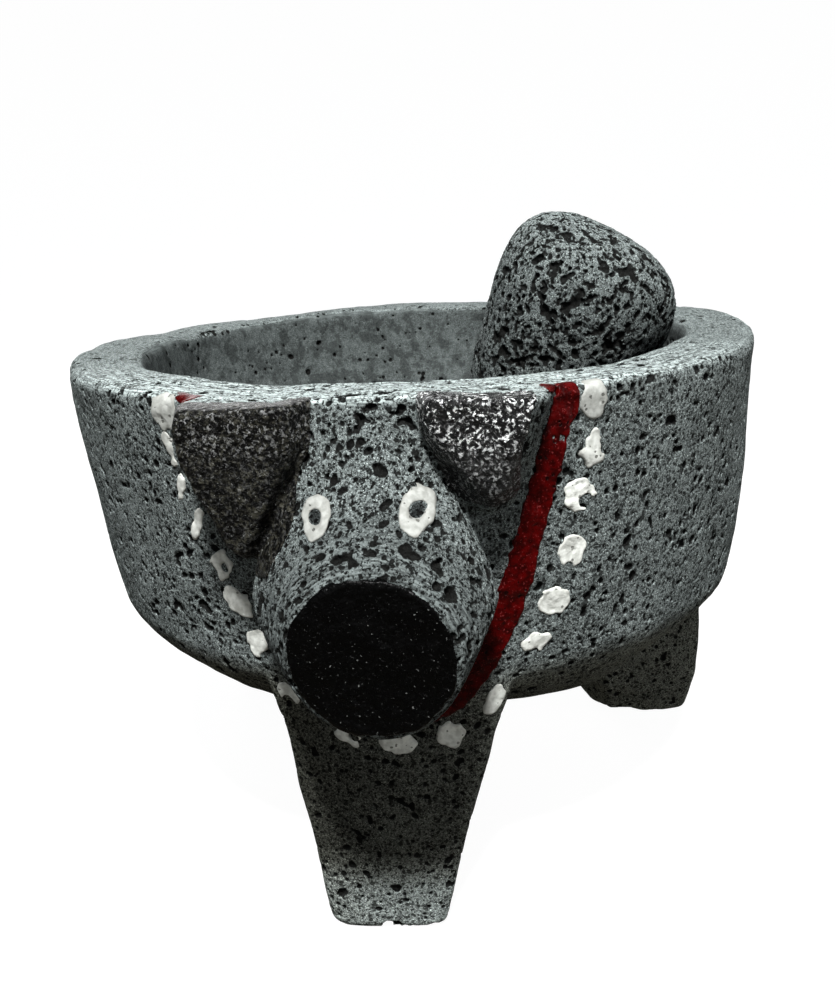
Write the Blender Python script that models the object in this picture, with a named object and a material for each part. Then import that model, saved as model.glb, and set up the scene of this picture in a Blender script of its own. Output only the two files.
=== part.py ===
"""A molcajete: a basalt mortar with a pig's head carved on its front, and its loose grinding stone.

The head faces -Y. The origin is where the object stands, at the middle of its bounding box.
Bowl, legs, head and ears are one carved block. The paint on it is modelled as thin coats."""

import math

import bmesh
import bpy
from mathutils import Matrix, Vector, geometry

# Bowl, in metres. Drops are measured down from the plane of the rim.
RIM_RADIUS = 0.0988
RIM_HEIGHT = 0.141
WALL_DROP = 0.064
WALL_FOOT_RADIUS = 0.0949
BELLY_DEPTH = 0.044
BELLY_ROUNDNESS = 1.62
CAVITY_RADIUS = 0.0795
CAVITY_DEPTH = 0.073
LIP_ROUNDING = 0.0035
RIM_ROUNDING = 0.0024
WALL_STATIONS = (0.025, 0.045, WALL_DROP)
BELLY_SHARPNESS = 0.8
CAVITY_STEPS = 10
CAVITY_TURN = 82
BELLY_STEPS = 10
TURN_STEPS = 72

# Legs: front, rear right and rear left. Each one's root is sunk in the belly by the insets.
LEG_AZIMUTHS = (0, 111, -124)
LEG_OUTER_RADIUS = 0.0915
LEG_INNER_RADIUS = 0.0610
LEG_FOOT_WIDTH = 0.0306
LEG_FLARE = (0.30, 1.2)
LEG_INNER_SLOPE = 0.2
LEG_SECTIONS = 4
LEG_INSET = 0.0001
LEG_BACK_SHARE = 0.92
LEG_ROOT_RISE = 0.006
LEG_ROOT_INSET = 0.004
FRONT_LEG_SHIFT = (-0.0035, 0.0006)
LEG_EDGE = 0.0022

# Head: its reach is measured from the bowl's axis. The brow's crown is the height by which the
# head's outline would rise over the rim's plane if that plane didn't cut it off.
HEAD_ROOT = 0.085
FACE_START = 0.098
SNOUT_REACH = 0.1205
SNOUT_RADIUS = 0.0172
SNOUT_DROP = 0.0460
SNOUT_SHIFT = 0.0032
SNOUT_EDGE = 0.0008
CHEEK_HALF_WIDTH = 0.0268
CHEEK_DROP = 0.0400
CHIN_DROP = 0.0705
BROW_CROWN = 0.012
BROW_PINCH = 0.38
CHIN_PINCH = 0.42
ROOT_PINCH = 0.08
ROOT_SHARE = 0.12
PROFILE_HOLLOW = 0.37
CHIN_HOLLOW = 0.8
CHEEK_HOLLOW = 1.6
STATION_EASE = 1.5
HEAD_STATIONS = 10
HEAD_POINTS = 40

# Ears: (sideways, drop) outlines in millimetres of the flat face, the base and the root in the wall.
EAR_REACHES = (0.0880, 0.0985, 0.1040)
EAR_OUTLINES = {
    "right": (
        ((9.0, 0), (39.4, 0), (38.2, 5.5), (31.2, 23.0), (26.0, 26.0), (20.0, 23.5), (9.0, 9.0)),
        ((12.0, 0), (38.0, 0), (36.6, 4.5), (30.4, 21.6), (26.0, 24.4), (21.4, 21.8), (12.2, 7.5)),
        ((15.0, 0), (34.6, 0), (33.8, 4.0), (28.6, 17.4), (26.2, 18.4), (23.8, 17.4), (15.4, 5.5)),
    ),
    "left": (
        ((7, 0), (38.2, 0), (38.8, 5.5), (38, 13), (30.6, 33), (25.5, 36.5), (19.4, 35), (7, 10)),
        ((10.2, 0), (37.6, 0), (38.5, 4.5), (37.8, 12.5), (29.9, 31.6), (26, 34.4), (21.6, 33), (10, 8.5)),
        ((12.8, 0), (35.6, 0), (37.4, 4), (37, 12), (29.2, 29.8), (27, 31.4), (24.6, 30.4), (13.2, 8)),
    ),
}
EAR_TOP_DROP = 0.00015
EAR_EDGE = 0.0007

# Tejolote, in the vertical plane through the bowl's axis at its azimuth.
TEJOLOTE_AZIMUTH = 82.5
TEJOLOTE_LEAN = 22.5
TEJOLOTE_CROSSING = 0.0474
TEJOLOTE_ABOVE = 0.0307
TEJOLOTE_LENGTH = 0.0970
TEJOLOTE_RADIUS = 0.0270
TEJOLOTE_FOOT_RADIUS = 0.0225
TEJOLOTE_CAP = 0.0225
TEJOLOTE_FOOT_CAP = 0.0270
TEJOLOTE_SQUARENESS = 2.6
TEJOLOTE_STEPS = 40
CAP_STEPS = 9

# Paint: every coat stands off the stone by the gap. Paths are (round the wall, drop) in millimetres.
COAT_GAP = 0.0003
COAT_THICKNESS = 0.0005
DAB_RADIUS = 0.0029
DAB_SIDES = 12
EYES = {"left": (-8.2, 22.0, 3.1), "right": (11.6, 21.0, 3.6)}
EYE_HEIGHT = 0.0048
EYE_SHARES = (0.7, 1)
EYE_SIDES = 20
PUPIL_RADIUS = 0.0013
FACE_SLOPE = 48
SNOUT_SIDES = 32
EAR_PAINT_SHARE = 0.97
FILL_SHARES = (0.5, 1)
BAND_STEPS = 17
BAND_WIDTHS = {"right": 0.0048, "left": 0.0022}
BAND_PATHS = {
    "right": ((42.9, 3.5), (33.0, 30.0), (28.0, 78.5), (0, 75.5)),
    "left": ((-41.8, 4.0), (-36.5, 26.0), (-18.0, 80.0), (0, 75.5)),
}

# White dabs, from the right end of the row to the left: azimuth in degrees and drop in millimetres.
DABS = (
    (28.8, 4.2), (29.0, 15.1), (27.0, 24.7), (26.3, 37.9), (24.0, 49.2), (21.4, 59.0),
    (15.6, 72.5), (9.2, 80.5), (1.8, 83.0), (-5.6, 81.0), (-14.2, 71.5), (-17.9, 58.2),
    (-20.2, 48.3), (-22.0, 39.3), (-24.9, 30.0), (-26.7, 21.2), (-27.4, 12.0), (-27.2, 4.0),
)

MM = 0.001
ACROSS = Vector((1, 0, 0))
UP = Vector((0, 0, 1))
BOWL_Y = (SNOUT_REACH + COAT_GAP + COAT_THICKNESS - RIM_RADIUS) / 2

COLOURS = {
    "basalt": ((0.16, 0.175, 0.175, 1), 0.92),
    "tejolote_basalt": ((0.15, 0.165, 0.165, 1), 0.88),
    "black_paint": ((0.006, 0.006, 0.007, 1), 0.22),
    "white_paint": ((0.75, 0.73, 0.66, 1), 0.55),
    "red_paint": ((0.28, 0.008, 0.008, 1), 0.30),
}


def clear_scene():
    for obj in list(bpy.data.objects):
        bpy.data.objects.remove(obj, do_unlink=True)


def material(name):
    found = bpy.data.materials.get(name)
    if found:
        return found
    colour, roughness = COLOURS[name]
    made = bpy.data.materials.new(name)
    made.use_nodes = True
    shader = made.node_tree.nodes["Principled BSDF"]
    shader.inputs["Base Color"].default_value = colour
    shader.inputs["Roughness"].default_value = roughness
    return made


def new_object(name, points, faces, slot, edges=()):
    mesh = bpy.data.meshes.new(name)
    mesh.from_pydata([tuple(p) for p in points], edges, faces)
    mesh.materials.append(material(slot))
    mesh.shade_smooth()
    obj = bpy.data.objects.new(name, mesh)
    bpy.context.scene.collection.objects.link(obj)
    return obj


def as_helper(obj):
    obj.hide_render = True
    obj.display_type = "WIRE"
    return obj


def face_outwards(obj):
    shape = bmesh.new()
    shape.from_mesh(obj.data)
    bmesh.ops.recalc_face_normals(shape, faces=shape.faces)
    shape.to_mesh(obj.data)
    shape.free()
    obj.data.shade_smooth()


def add_bevel(obj, width, segments, angle):
    bevel = obj.modifiers.new("worn edges", "BEVEL")
    bevel.width = width
    bevel.segments = segments
    bevel.limit_method = "ANGLE"
    bevel.angle_limit = math.radians(angle)


def at(azimuth, radius, drop):
    """The point at this azimuth round the bowl (0 is the head's side, degrees towards +X)."""
    turn = math.radians(azimuth)
    return Vector((radius * math.sin(turn), BOWL_Y - radius * math.cos(turn), RIM_HEIGHT - drop))


def wall_radius(drop):
    """Outer radius of the bowl's wall, which tapers from the rim to where the belly starts."""
    return RIM_RADIUS + (WALL_FOOT_RADIUS - RIM_RADIUS) * drop / WALL_DROP


def loft(rows):
    """Faces between rows of equal length, each a closed ring, with both ends capped."""
    count = len(rows[0])
    points = [p for row in rows for p in row]
    faces = []
    for row in range(len(rows) - 1):
        for i in range(count):
            a = row * count + i
            b = row * count + (i + 1) % count
            faces.append((a, b, b + count, a + count))
    faces.append(tuple(range(count))[::-1])
    faces.append(tuple(range((len(rows) - 1) * count, len(rows) * count)))
    return points, faces


def turned(name, profile, steps, slot):
    """A Screw of a profile of (radius, height) pairs that starts and ends on the axis."""
    points = [(radius, 0, height) for radius, height in profile]
    edges = [(i, i + 1) for i in range(len(points) - 1)]
    obj = new_object(name, points, [], slot, edges)
    screw = obj.modifiers.new("turned", "SCREW")
    screw.steps = screw.render_steps = steps
    screw.use_merge_vertices = True
    screw.merge_threshold = 0.00001
    screw.use_smooth_shade = True
    return obj


def rounded_corner(centre, radius, start, end, count):
    """Points on an arc in the (radius, height) plane, angles in degrees from +radius."""
    angles = [math.radians(start + (end - start) * i / count) for i in range(count + 1)]
    return [(centre[0] + radius * math.cos(a), centre[1] + radius * math.sin(a)) for a in angles]


def bowl_profile():
    cavity = []
    for i in range(CAVITY_STEPS + 1):
        turn = math.radians(CAVITY_TURN * i / CAVITY_STEPS)
        cavity.append((CAVITY_RADIUS * math.sin(turn), -CAVITY_DEPTH * math.cos(turn)))
    inner = rounded_corner((CAVITY_RADIUS + LIP_ROUNDING, -LIP_ROUNDING), LIP_ROUNDING, 165, 90, 3)
    outer = rounded_corner((RIM_RADIUS - RIM_ROUNDING, -RIM_ROUNDING), RIM_ROUNDING, 90, 0, 4)
    wall = [(wall_radius(drop), -drop) for drop in WALL_STATIONS]
    belly = []
    for i in range(1, BELLY_STEPS):
        radius = WALL_FOOT_RADIUS * math.cos(math.pi / 2 * i / BELLY_STEPS) ** BELLY_SHARPNESS
        share = (1 - (radius / WALL_FOOT_RADIUS) ** BELLY_ROUNDNESS) ** (1 / BELLY_ROUNDNESS)
        belly.append((radius, -WALL_DROP - BELLY_DEPTH * share))
    belly.append((0, -WALL_DROP - BELLY_DEPTH))
    return cavity + inner + outer + wall + belly


def leg(name, azimuth, shift):
    """A wedge whose outer face goes on from the wall and whose sides flare up to the belly."""
    top = RIM_HEIGHT - WALL_DROP
    heights = [top * i / LEG_SECTIONS for i in range(LEG_SECTIONS + 1)]
    rows = []
    for height in heights:
        outer = LEG_OUTER_RADIUS + (WALL_FOOT_RADIUS - LEG_OUTER_RADIUS) * height / top
        inner = LEG_INNER_RADIUS - LEG_INNER_SLOPE * height
        rows.append(leg_section(height, outer - LEG_INSET, inner))
    heights.append(top + LEG_ROOT_RISE)
    rows.append(leg_section(heights[-1], WALL_FOOT_RADIUS - LEG_ROOT_INSET, LEG_INNER_RADIUS))
    for row, height in zip(rows, heights):
        slide = shift[0] + (shift[1] - shift[0]) * height / top
        for point in row:
            point.x += slide
    turn = Matrix.Rotation(math.radians(azimuth), 4, "Z")
    points, faces = loft(rows)
    points = [turn @ p + Vector((0, BOWL_Y, 0)) for p in points]
    obj = new_object(name, points, faces, "basalt")
    face_outwards(obj)
    add_bevel(obj, LEG_EDGE, 2, 35)
    return as_helper(obj)


def leg_section(height, outer, inner):
    width = LEG_FOOT_WIDTH + LEG_FLARE[0] * height + LEG_FLARE[1] * height**2
    half = width / 2
    arc = [half * (i / 3 - 1) for i in range(7)]
    front = [Vector((x, -math.sqrt(outer**2 - x**2), height)) for x in arc]
    back_half = half * LEG_BACK_SHARE
    return front + [Vector((back_half, -inner, height)), Vector((-back_half, -inner, height))]


def head():
    """Rings from inside the wall out to the snout, with a narrow brow and wide cheeks."""
    rows = [head_ring(0, HEAD_ROOT)]
    muzzle = SNOUT_REACH - SNOUT_EDGE - FACE_START
    for i in range(HEAD_STATIONS + 1):
        share = (i / HEAD_STATIONS) ** STATION_EASE
        rows.append(head_ring(share, FACE_START + muzzle * share))
    centre = Vector((SNOUT_SHIFT, BOWL_Y - SNOUT_REACH, RIM_HEIGHT - SNOUT_DROP))
    shrink = 1 - SNOUT_EDGE / SNOUT_RADIUS
    step = Vector((0, -SNOUT_EDGE, 0))
    rows.append([centre + (p + step - centre) * shrink for p in rows[-1]])
    points, faces = loft(rows)
    obj = new_object("head", points, faces, "basalt")
    face_outwards(obj)
    return as_helper(obj)


def head_ring(share, reach):
    """An outline across the head. share runs from 0 at the wall to 1 at the snout's rim."""
    top = -BROW_CROWN + (SNOUT_DROP - SNOUT_RADIUS + BROW_CROWN) * share**PROFILE_HOLLOW
    chin = CHIN_DROP + (SNOUT_DROP + SNOUT_RADIUS - CHIN_DROP) * share**CHIN_HOLLOW
    middle = CHEEK_DROP + (SNOUT_DROP - CHEEK_DROP) * share
    half_width = CHEEK_HALF_WIDTH + (SNOUT_RADIUS - CHEEK_HALF_WIDTH) * share**CHEEK_HOLLOW
    half_width *= 1 - ROOT_PINCH * max(0, 1 - share / ROOT_SHARE)
    ring = []
    for i in range(HEAD_POINTS):
        turn = 2 * math.pi * i / HEAD_POINTS
        up = math.cos(turn)
        drop = middle - (middle - top) * up if up > 0 else middle - (chin - middle) * up
        pinch = (1 - share) * (BROW_PINCH * up if up > 0 else -CHIN_PINCH * up)
        across = half_width * math.sin(turn) * (1 - pinch)
        height = RIM_HEIGHT - max(drop, EAR_TOP_DROP)
        ring.append(Vector((across + SNOUT_SHIFT * share, BOWL_Y - reach, height)))
    return ring


def ear(side):
    """A truncated triangular pyramid whose top is level with the rim."""
    points, faces = loft([ear_outline(side, level, EAR_REACHES[level]) for level in range(3)])
    obj = new_object("ear_" + side, points, faces, "basalt")
    face_outwards(obj)
    add_bevel(obj, EAR_EDGE, 2, 30)
    return as_helper(obj)


def ear_outline(side, level, reach):
    """level is 0 at the root, 1 at the base and 2 at the flat face."""
    sign = 1 if side == "right" else -1
    top = RIM_HEIGHT - EAR_TOP_DROP
    outline = EAR_OUTLINES[side][level]
    return [Vector((sign * x * MM, BOWL_Y - reach, top - drop * MM)) for x, drop in outline]


def mortar():
    """The carved block: the turned bowl with its legs, head and ears joined on."""
    profile = [(radius, RIM_HEIGHT + height) for radius, height in bowl_profile()]
    obj = turned("mortar", profile, TURN_STEPS, "basalt")
    obj.location.y = BOWL_Y
    joined = [head(), ear("left"), ear("right")]
    for azimuth in LEG_AZIMUTHS:
        shift = FRONT_LEG_SHIFT if azimuth == 0 else (0, 0)
        joined.append(leg("leg_at_%d" % azimuth, azimuth, shift))
    for piece in joined:
        union = obj.modifiers.new("join " + piece.name, "BOOLEAN")
        union.operation = "UNION"
        union.object = piece
        union.solver = "EXACT"
    return obj


def tejolote():
    """A rounded pestle, thicker at its upper end, leaning on the lip with its foot in the cavity."""
    profile = []
    body = TEJOLOTE_LENGTH - TEJOLOTE_CAP - TEJOLOTE_FOOT_CAP
    for i in range(CAP_STEPS + 1):
        turn = math.pi / 2 * i / CAP_STEPS
        profile.append(cap_point(TEJOLOTE_RADIUS, TEJOLOTE_CAP, turn, body + TEJOLOTE_FOOT_CAP))
    for i in range(CAP_STEPS, -1, -1):
        turn = math.pi / 2 * i / CAP_STEPS
        radius, height = cap_point(TEJOLOTE_FOOT_RADIUS, TEJOLOTE_FOOT_CAP, turn, 0)
        profile.append((radius, TEJOLOTE_FOOT_CAP - height))
    obj = turned("tejolote", profile, TEJOLOTE_STEPS, "tejolote_basalt")
    foot = TEJOLOTE_LENGTH - TEJOLOTE_ABOVE
    lean = Matrix.Rotation(math.radians(TEJOLOTE_LEAN), 4, "Y")
    turn = Matrix.Rotation(math.radians(TEJOLOTE_AZIMUTH - 90), 4, "Z")
    crossing = at(TEJOLOTE_AZIMUTH, TEJOLOTE_CROSSING, 0)
    place = Matrix.Translation(crossing) @ turn @ lean @ Matrix.Translation((0, 0, -foot))
    obj.matrix_world = place
    return obj


def cap_point(radius, height, turn, base):
    """A point on a squarish quarter ellipse, from its pole at 0 to its equator at 90 degrees."""
    power = 2 / TEJOLOTE_SQUARENESS
    return radius * math.sin(turn) ** power, base + height * math.cos(turn) ** power


def sheet(name, rows, slot, ringed=True, filled=False):
    """A sheet through rows of points. Rows can be rings, and the first ring can be filled in."""
    count = len(rows[0])
    points = [p for row in rows for p in row]
    faces = []
    for row in range(len(rows) - 1):
        for i in range(count if ringed else count - 1):
            a = row * count + i
            b = row * count + (i + 1) % count
            faces.append((a, a + count, b + count, b))
    if filled:
        points.append(sum(rows[0], Vector()) / count)
        faces += [(i, (i + 1) % count, len(points) - 1) for i in range(count)]
    return new_object(name, points, faces, slot)


def lay_on(obj, stone, from_front=False):
    """Drapes a sheet on the stone, a gap above it, and gives it the thickness of a coat."""
    if from_front:
        press = obj.modifiers.new("press", "SHRINKWRAP")
        press.target = stone
        press.wrap_method = "PROJECT"
        press.use_project_y = True
        press.use_positive_direction = True
    wrap = obj.modifiers.new("drape", "SHRINKWRAP")
    wrap.target = stone
    wrap.wrap_method = "NEAREST_SURFACEPOINT"
    wrap.wrap_mode = "ABOVE_SURFACE"
    wrap.offset = COAT_GAP
    add_thickness(obj)


def add_thickness(obj):
    coat = obj.modifiers.new("coat", "SOLIDIFY")
    coat.thickness = COAT_THICKNESS
    coat.offset = 1


def oval_rings(centre, across, up, half_width, half_height, shares, sides):
    rings = []
    for share in shares:
        ring = []
        for i in range(sides):
            turn = 2 * math.pi * i / sides
            side = across * half_width * math.cos(turn)
            ring.append(centre + (side + up * half_height * math.sin(turn)) * share)
        rings.append(ring)
    return rings


def snout_paint():
    centre = Vector((SNOUT_SHIFT, BOWL_Y - SNOUT_REACH - COAT_GAP, RIM_HEIGHT - SNOUT_DROP))
    radius = SNOUT_RADIUS - SNOUT_EDGE
    rings = oval_rings(centre, ACROSS, UP, radius, radius, FILL_SHARES, SNOUT_SIDES)
    add_thickness(sheet("snout_paint", rings, "black_paint", filled=True))


def ear_paint(side):
    outline = ear_outline(side, 2, EAR_REACHES[2] + COAT_GAP)
    middle = sum(outline, Vector()) / len(outline)
    outline = [middle + (p - middle) * EAR_PAINT_SHARE for p in outline]
    order = outline if side == "left" else outline[::-1]
    obj = new_object("ear_paint_" + side, order, [tuple(range(len(order)))], "black_paint")
    add_thickness(obj)


def eye_paint(side, stone):
    sideways, drop, half_width = EYES[side]
    slope = math.radians(FACE_SLOPE)
    centre = Vector((sideways * MM, BOWL_Y - SNOUT_REACH, RIM_HEIGHT - drop * MM))
    up = UP * math.sin(slope)
    width = half_width * MM
    hole = oval_rings(centre, ACROSS, up, PUPIL_RADIUS, PUPIL_RADIUS, (1,), EYE_SIDES)
    rings = oval_rings(centre, ACROSS, up, width, EYE_HEIGHT, EYE_SHARES, EYE_SIDES)
    lay_on(sheet("eye_paint_" + side, hole + rings, "white_paint"), stone, from_front=True)


def neck_dab(number, azimuth, drop, stone):
    centre = at(azimuth, wall_radius(min(drop * MM, WALL_DROP)) + COAT_GAP, drop * MM)
    across = at(azimuth + 90, 1, 0) - at(azimuth + 90, 0, 0)
    rings = oval_rings(centre, across, UP, DAB_RADIUS, DAB_RADIUS, FILL_SHARES, DAB_SIDES)
    lay_on(sheet("neck_dab_%02d" % number, rings, "white_paint", filled=True), stone)


def neck_band(stone):
    """A band in a U from the rim beside one ear, under the chin, to the rim beside the other."""
    right = band_rows("right")
    left = [row[::-1] for row in band_rows("left")[-2::-1]]
    lay_on(sheet("neck_band", right + left, "red_paint", ringed=False), stone)


def band_rows(side):
    """Rows of four points across the band, from the rim down to the middle of the throat."""
    corners = [Vector(corner) * MM for corner in BAND_PATHS[side]]
    path = geometry.interpolate_bezier(*corners, BAND_STEPS + 1)
    half = BAND_WIDTHS[side] / 2
    rows = []
    for i, here in enumerate(path):
        along = (path[min(i + 1, BAND_STEPS)] - path[max(i - 1, 0)]).normalized()
        across = Vector((along.y, -along.x))
        width = half + (BAND_WIDTHS["right"] / 2 - half) * (i / BAND_STEPS) ** 4
        rows.append([on_wall(here + across * width * share) for share in (-1, -1 / 3, 1 / 3, 1)])
    return rows


def on_wall(place):
    """The point just off the wall for a distance round it and a drop."""
    radius = wall_radius(min(place.y, WALL_DROP))
    return at(math.degrees(place.x / radius), radius + COAT_GAP, place.y)


def main():
    clear_scene()
    stone = mortar()
    tejolote()
    snout_paint()
    for side in ("left", "right"):
        ear_paint(side)
        eye_paint(side, stone)
    neck_band(stone)
    for number, (azimuth, drop) in enumerate(DABS, start=1):
        neck_dab(number, azimuth, drop, stone)


main()
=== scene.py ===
"""The look of the molcajete: porous carved basalt, thick paint, a pale floor and a high, soft key light.

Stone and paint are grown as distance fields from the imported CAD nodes, in millimetres and in the row
frame, and meshed from those fields. So the pores, the chips and the paint's ragged edges are shapes."""

import math

import bpy
import numpy as np
import openvdb
from mathutils import Matrix, Vector


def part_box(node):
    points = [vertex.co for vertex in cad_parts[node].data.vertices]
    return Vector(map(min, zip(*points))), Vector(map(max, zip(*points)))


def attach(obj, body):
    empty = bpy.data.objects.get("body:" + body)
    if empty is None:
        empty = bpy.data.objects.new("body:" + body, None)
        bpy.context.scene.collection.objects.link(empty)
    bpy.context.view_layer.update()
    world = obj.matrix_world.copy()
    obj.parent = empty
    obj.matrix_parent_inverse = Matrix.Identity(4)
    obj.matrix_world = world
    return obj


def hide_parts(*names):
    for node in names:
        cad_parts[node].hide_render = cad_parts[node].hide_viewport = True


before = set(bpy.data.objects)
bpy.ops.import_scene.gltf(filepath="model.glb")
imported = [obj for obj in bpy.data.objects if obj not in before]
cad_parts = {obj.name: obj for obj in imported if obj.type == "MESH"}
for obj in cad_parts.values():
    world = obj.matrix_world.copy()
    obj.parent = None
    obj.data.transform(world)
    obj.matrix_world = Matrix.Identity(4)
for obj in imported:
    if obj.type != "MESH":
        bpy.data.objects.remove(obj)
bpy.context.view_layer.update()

# Grid steps of the distance fields, and how far from a surface a distance is kept, in millimetres.
MORTAR_STEP = 0.5
TEJOLOTE_STEP = 0.5
PAINT_STEP = 0.3
BAND = 5.0

# Camera: its place from the bowl's axis at the height of the rim, in metres, its turns in radians, and
# its lens and sensor in millimetres.
CAMERA_ASIDE = 0.0001
CAMERA_BACK = 0.26424
CAMERA_UP = 0.03274
CAMERA_TURN = math.radians(6.8)
CAMERA_YAW = -0.0054
CAMERA_PITCH = 0.3172
CAMERA_ROLL = -0.0549
CAMERA_LENS = 30.6
CAMERA_SENSOR = 36


# ---------------------------------------------------------------- fields


class Field:
    """Values on a regular grid in millimetres. A distance is below zero inside the solid."""

    def __init__(self, values, corner, step):
        self.values = values
        self.corner = np.asarray(corner, np.float32)
        self.step = step

    def at(self, points):
        place = (points - self.corner) / self.step
        base = np.clip(np.floor(place).astype(np.int64), 0, np.array(self.values.shape) - 2)
        share = np.clip(place - base, 0, 1).astype(np.float32)
        flat = self.values.ravel()
        row = self.values.shape[2]
        layer = row * self.values.shape[1]
        first = base[:, 0] * layer + base[:, 1] * row + base[:, 2]
        total = np.zeros(len(points), np.float32)
        for i in (0, 1):
            for j in (0, 1):
                for k in (0, 1):
                    weight = np.abs((1 - i) - share[:, 0])
                    weight = weight * np.abs((1 - j) - share[:, 1]) * np.abs((1 - k) - share[:, 2])
                    total += weight * flat[first + i * layer + j * row + k]
        return total

    def positions(self):
        axes = [c + self.step * np.arange(n) for c, n in zip(self.corner, self.values.shape)]
        return np.stack(np.meshgrid(*axes, indexing="ij"), -1).reshape(-1, 3).astype(np.float32)


def box_mm(node):
    return [np.array(corner) * 1000 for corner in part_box(node)]


def node_mesh(node):
    """A node's points in millimetres and its triangles."""
    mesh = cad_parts[node].data
    mesh.calc_loop_triangles()
    points = np.empty(len(mesh.vertices) * 3, np.float32)
    mesh.vertices.foreach_get("co", points)
    triangles = np.empty(len(mesh.loop_triangles) * 3, np.int32)
    mesh.loop_triangles.foreach_get("vertices", triangles)
    return points.reshape(-1, 3) * 1000, triangles.reshape(-1, 3)


def distance_field(node, step, band=BAND):
    """The distance from a node's surface, with a little room round the node."""
    points, triangles = node_mesh(node)
    low = np.floor(points.min(0) / step).astype(int) - 5
    high = np.ceil(points.max(0) / step).astype(int) + 6
    grid = openvdb.FloatGrid.createLevelSetFromPolygons(
        points,
        triangles=triangles.astype(np.uint32),
        transform=openvdb.createLinearTransform(voxelSize=step),
        halfWidth=band / step,
    )
    values = np.empty(tuple(high - low), np.float32)
    grid.copyToArray(values, ijk=tuple(int(i) for i in low))
    return Field(values, low * step, step)


def spline_rows(count, step, wavelength):
    """Cubic B-spline weights of each lattice value at each grid place, one row for a place."""
    place = np.arange(count) * step / wavelength
    cell = np.floor(place).astype(int)
    t = place - cell
    weights = ((1 - t) ** 3, 3 * t**3 - 6 * t**2 + 4, -3 * t**3 + 3 * t**2 + 3 * t + 1, t**3)
    rows = np.zeros((count, cell.max() + 4), np.float32)
    for k in range(4):
        rows[np.arange(count), cell + k] = weights[k] / 6
    return rows


def lattice_noise(shape, step, wavelengths, rng):
    """Smooth noise of unit spread. wavelengths is one length in millimetres, or one for each axis."""
    wavelengths = np.broadcast_to(wavelengths, 3)
    a, b, c = (spline_rows(n, step, w) for n, w in zip(shape, wavelengths))
    lattice = rng.standard_normal((a.shape[1], b.shape[1], c.shape[1])).astype(np.float32)
    noise = np.tensordot(a, lattice, 1)
    noise = np.tensordot(noise, b, (1, 1)).swapaxes(1, 2) @ c.T
    return noise / noise.std()


def blurred(values, passes):
    for _ in range(passes):
        for axis in range(3):
            moved = np.moveaxis(values, axis, 0)
            inner = (moved[:-2] + 2 * moved[1:-1] + moved[2:]) / 4
            values = values.copy()
            np.moveaxis(values, axis, 0)[1:-1] = inner
    return values


def ease(value, low, high):
    """0 up to low and 1 from high on. low may be the greater of the two."""
    share = np.clip((value - low) / (high - low), 0, 1)
    return share * share * (3 - 2 * share)


def smooth_max(a, b, reach):
    blend = np.clip(0.5 + (a - b) / (2 * reach), 0, 1)
    return b + (a - b) * blend + reach * blend * (1 - blend)


def random_turns(count, rng):
    """Rotation matrices, evenly spread over all turns."""
    q = rng.standard_normal((count, 4))
    w, x, y, z = (q / np.linalg.norm(q, axis=1, keepdims=True)).T
    rows = [
        [1 - 2 * (y * y + z * z), 2 * (x * y - z * w), 2 * (x * z + y * w)],
        [2 * (x * y + z * w), 1 - 2 * (x * x + z * z), 2 * (y * z - x * w)],
        [2 * (x * z - y * w), 2 * (y * z + x * w), 1 - 2 * (x * x + y * y)],
    ]
    return np.array(rows).transpose(2, 0, 1)


def surface_samples(node, count, rng):
    """Points spread evenly over a node's surface, and the normals there."""
    points, triangles = node_mesh(node)
    a, b, c = (points[triangles[:, i]] for i in range(3))
    cross = np.cross(b - a, c - a)
    area = np.linalg.norm(cross, axis=1) / 2
    pick = rng.choice(len(triangles), count, p=area / area.sum())
    u, v = rng.random((2, count, 1))
    over = u + v > 1
    u, v = np.where(over, 1 - u, u), np.where(over, 1 - v, v)
    normal = cross[pick] / np.linalg.norm(cross[pick], axis=1, keepdims=True)
    return a[pick] + u * (b - a)[pick] + v * (c - a)[pick], normal


def grow(field, centre, reach, amount):
    """Pushes the surface out by up to this many millimetres, or in where amount is below zero."""
    away = [
        (field.corner[i] + field.step * np.arange(field.values.shape[i]) - centre[i]) / reach
        for i in range(3)
    ]
    inside = [slice(*(np.flatnonzero(np.abs(a) < 1)[[0, -1]] + (0, 1))) for a in away]
    x, y, z = (a[i] ** 2 for a, i in zip(away, inside))
    share = np.clip(1 - (x[:, None, None] + y[:, None] + z), 0, 1) ** 2
    field.values[tuple(inside)] -= (amount * share).astype(np.float32)


def carve(field, warp, centres, sizes, turns):
    """Cuts warped ellipsoids out of the field. sizes holds three half-widths for each centre."""
    shape = np.array(field.values.shape)
    for centre, size, turn in zip(centres, sizes, turns):
        middle = np.round((centre - field.corner) / field.step).astype(int)
        reach = int(size.max() * 1.4 / field.step) + 2
        low = np.maximum(middle - reach, 0)
        high = np.minimum(middle + reach + 1, shape)
        if (high <= low).any():
            continue
        x, y, z = (
            field.corner[i] + field.step * np.arange(low[i], high[i]) - centre[i] for i in range(3)
        )
        frame_of = (turn / size[:, None]).astype(np.float32)
        total = 0
        for row in frame_of:
            part = (row[0] * x)[:, None, None] + (row[1] * y)[:, None] + row[2] * z
            total = total + part * part
        block = tuple(slice(a, b) for a, b in zip(low, high))
        hollow = (1 - np.sqrt(total) + 0.28 * warp[block]) * size.min()
        np.maximum(field.values[block], hollow, out=field.values[block])


def surface_of(field):
    """The field's zero surface as points in millimetres and outward-facing quads."""
    grid = openvdb.FloatGrid(BAND)
    grid.copyFromArray(field.values)
    points, quads = grid.convertToQuads(0.0)
    points = points * field.step + field.corner
    quads = quads.astype(np.int64)
    a, b, c = (points[quads[:, i]] - points.mean(0) for i in (0, 1, 2))
    if np.einsum("ij,ij->", np.cross(a, b), c) < 0:
        quads = quads[:, ::-1]
    return points, quads


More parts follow.
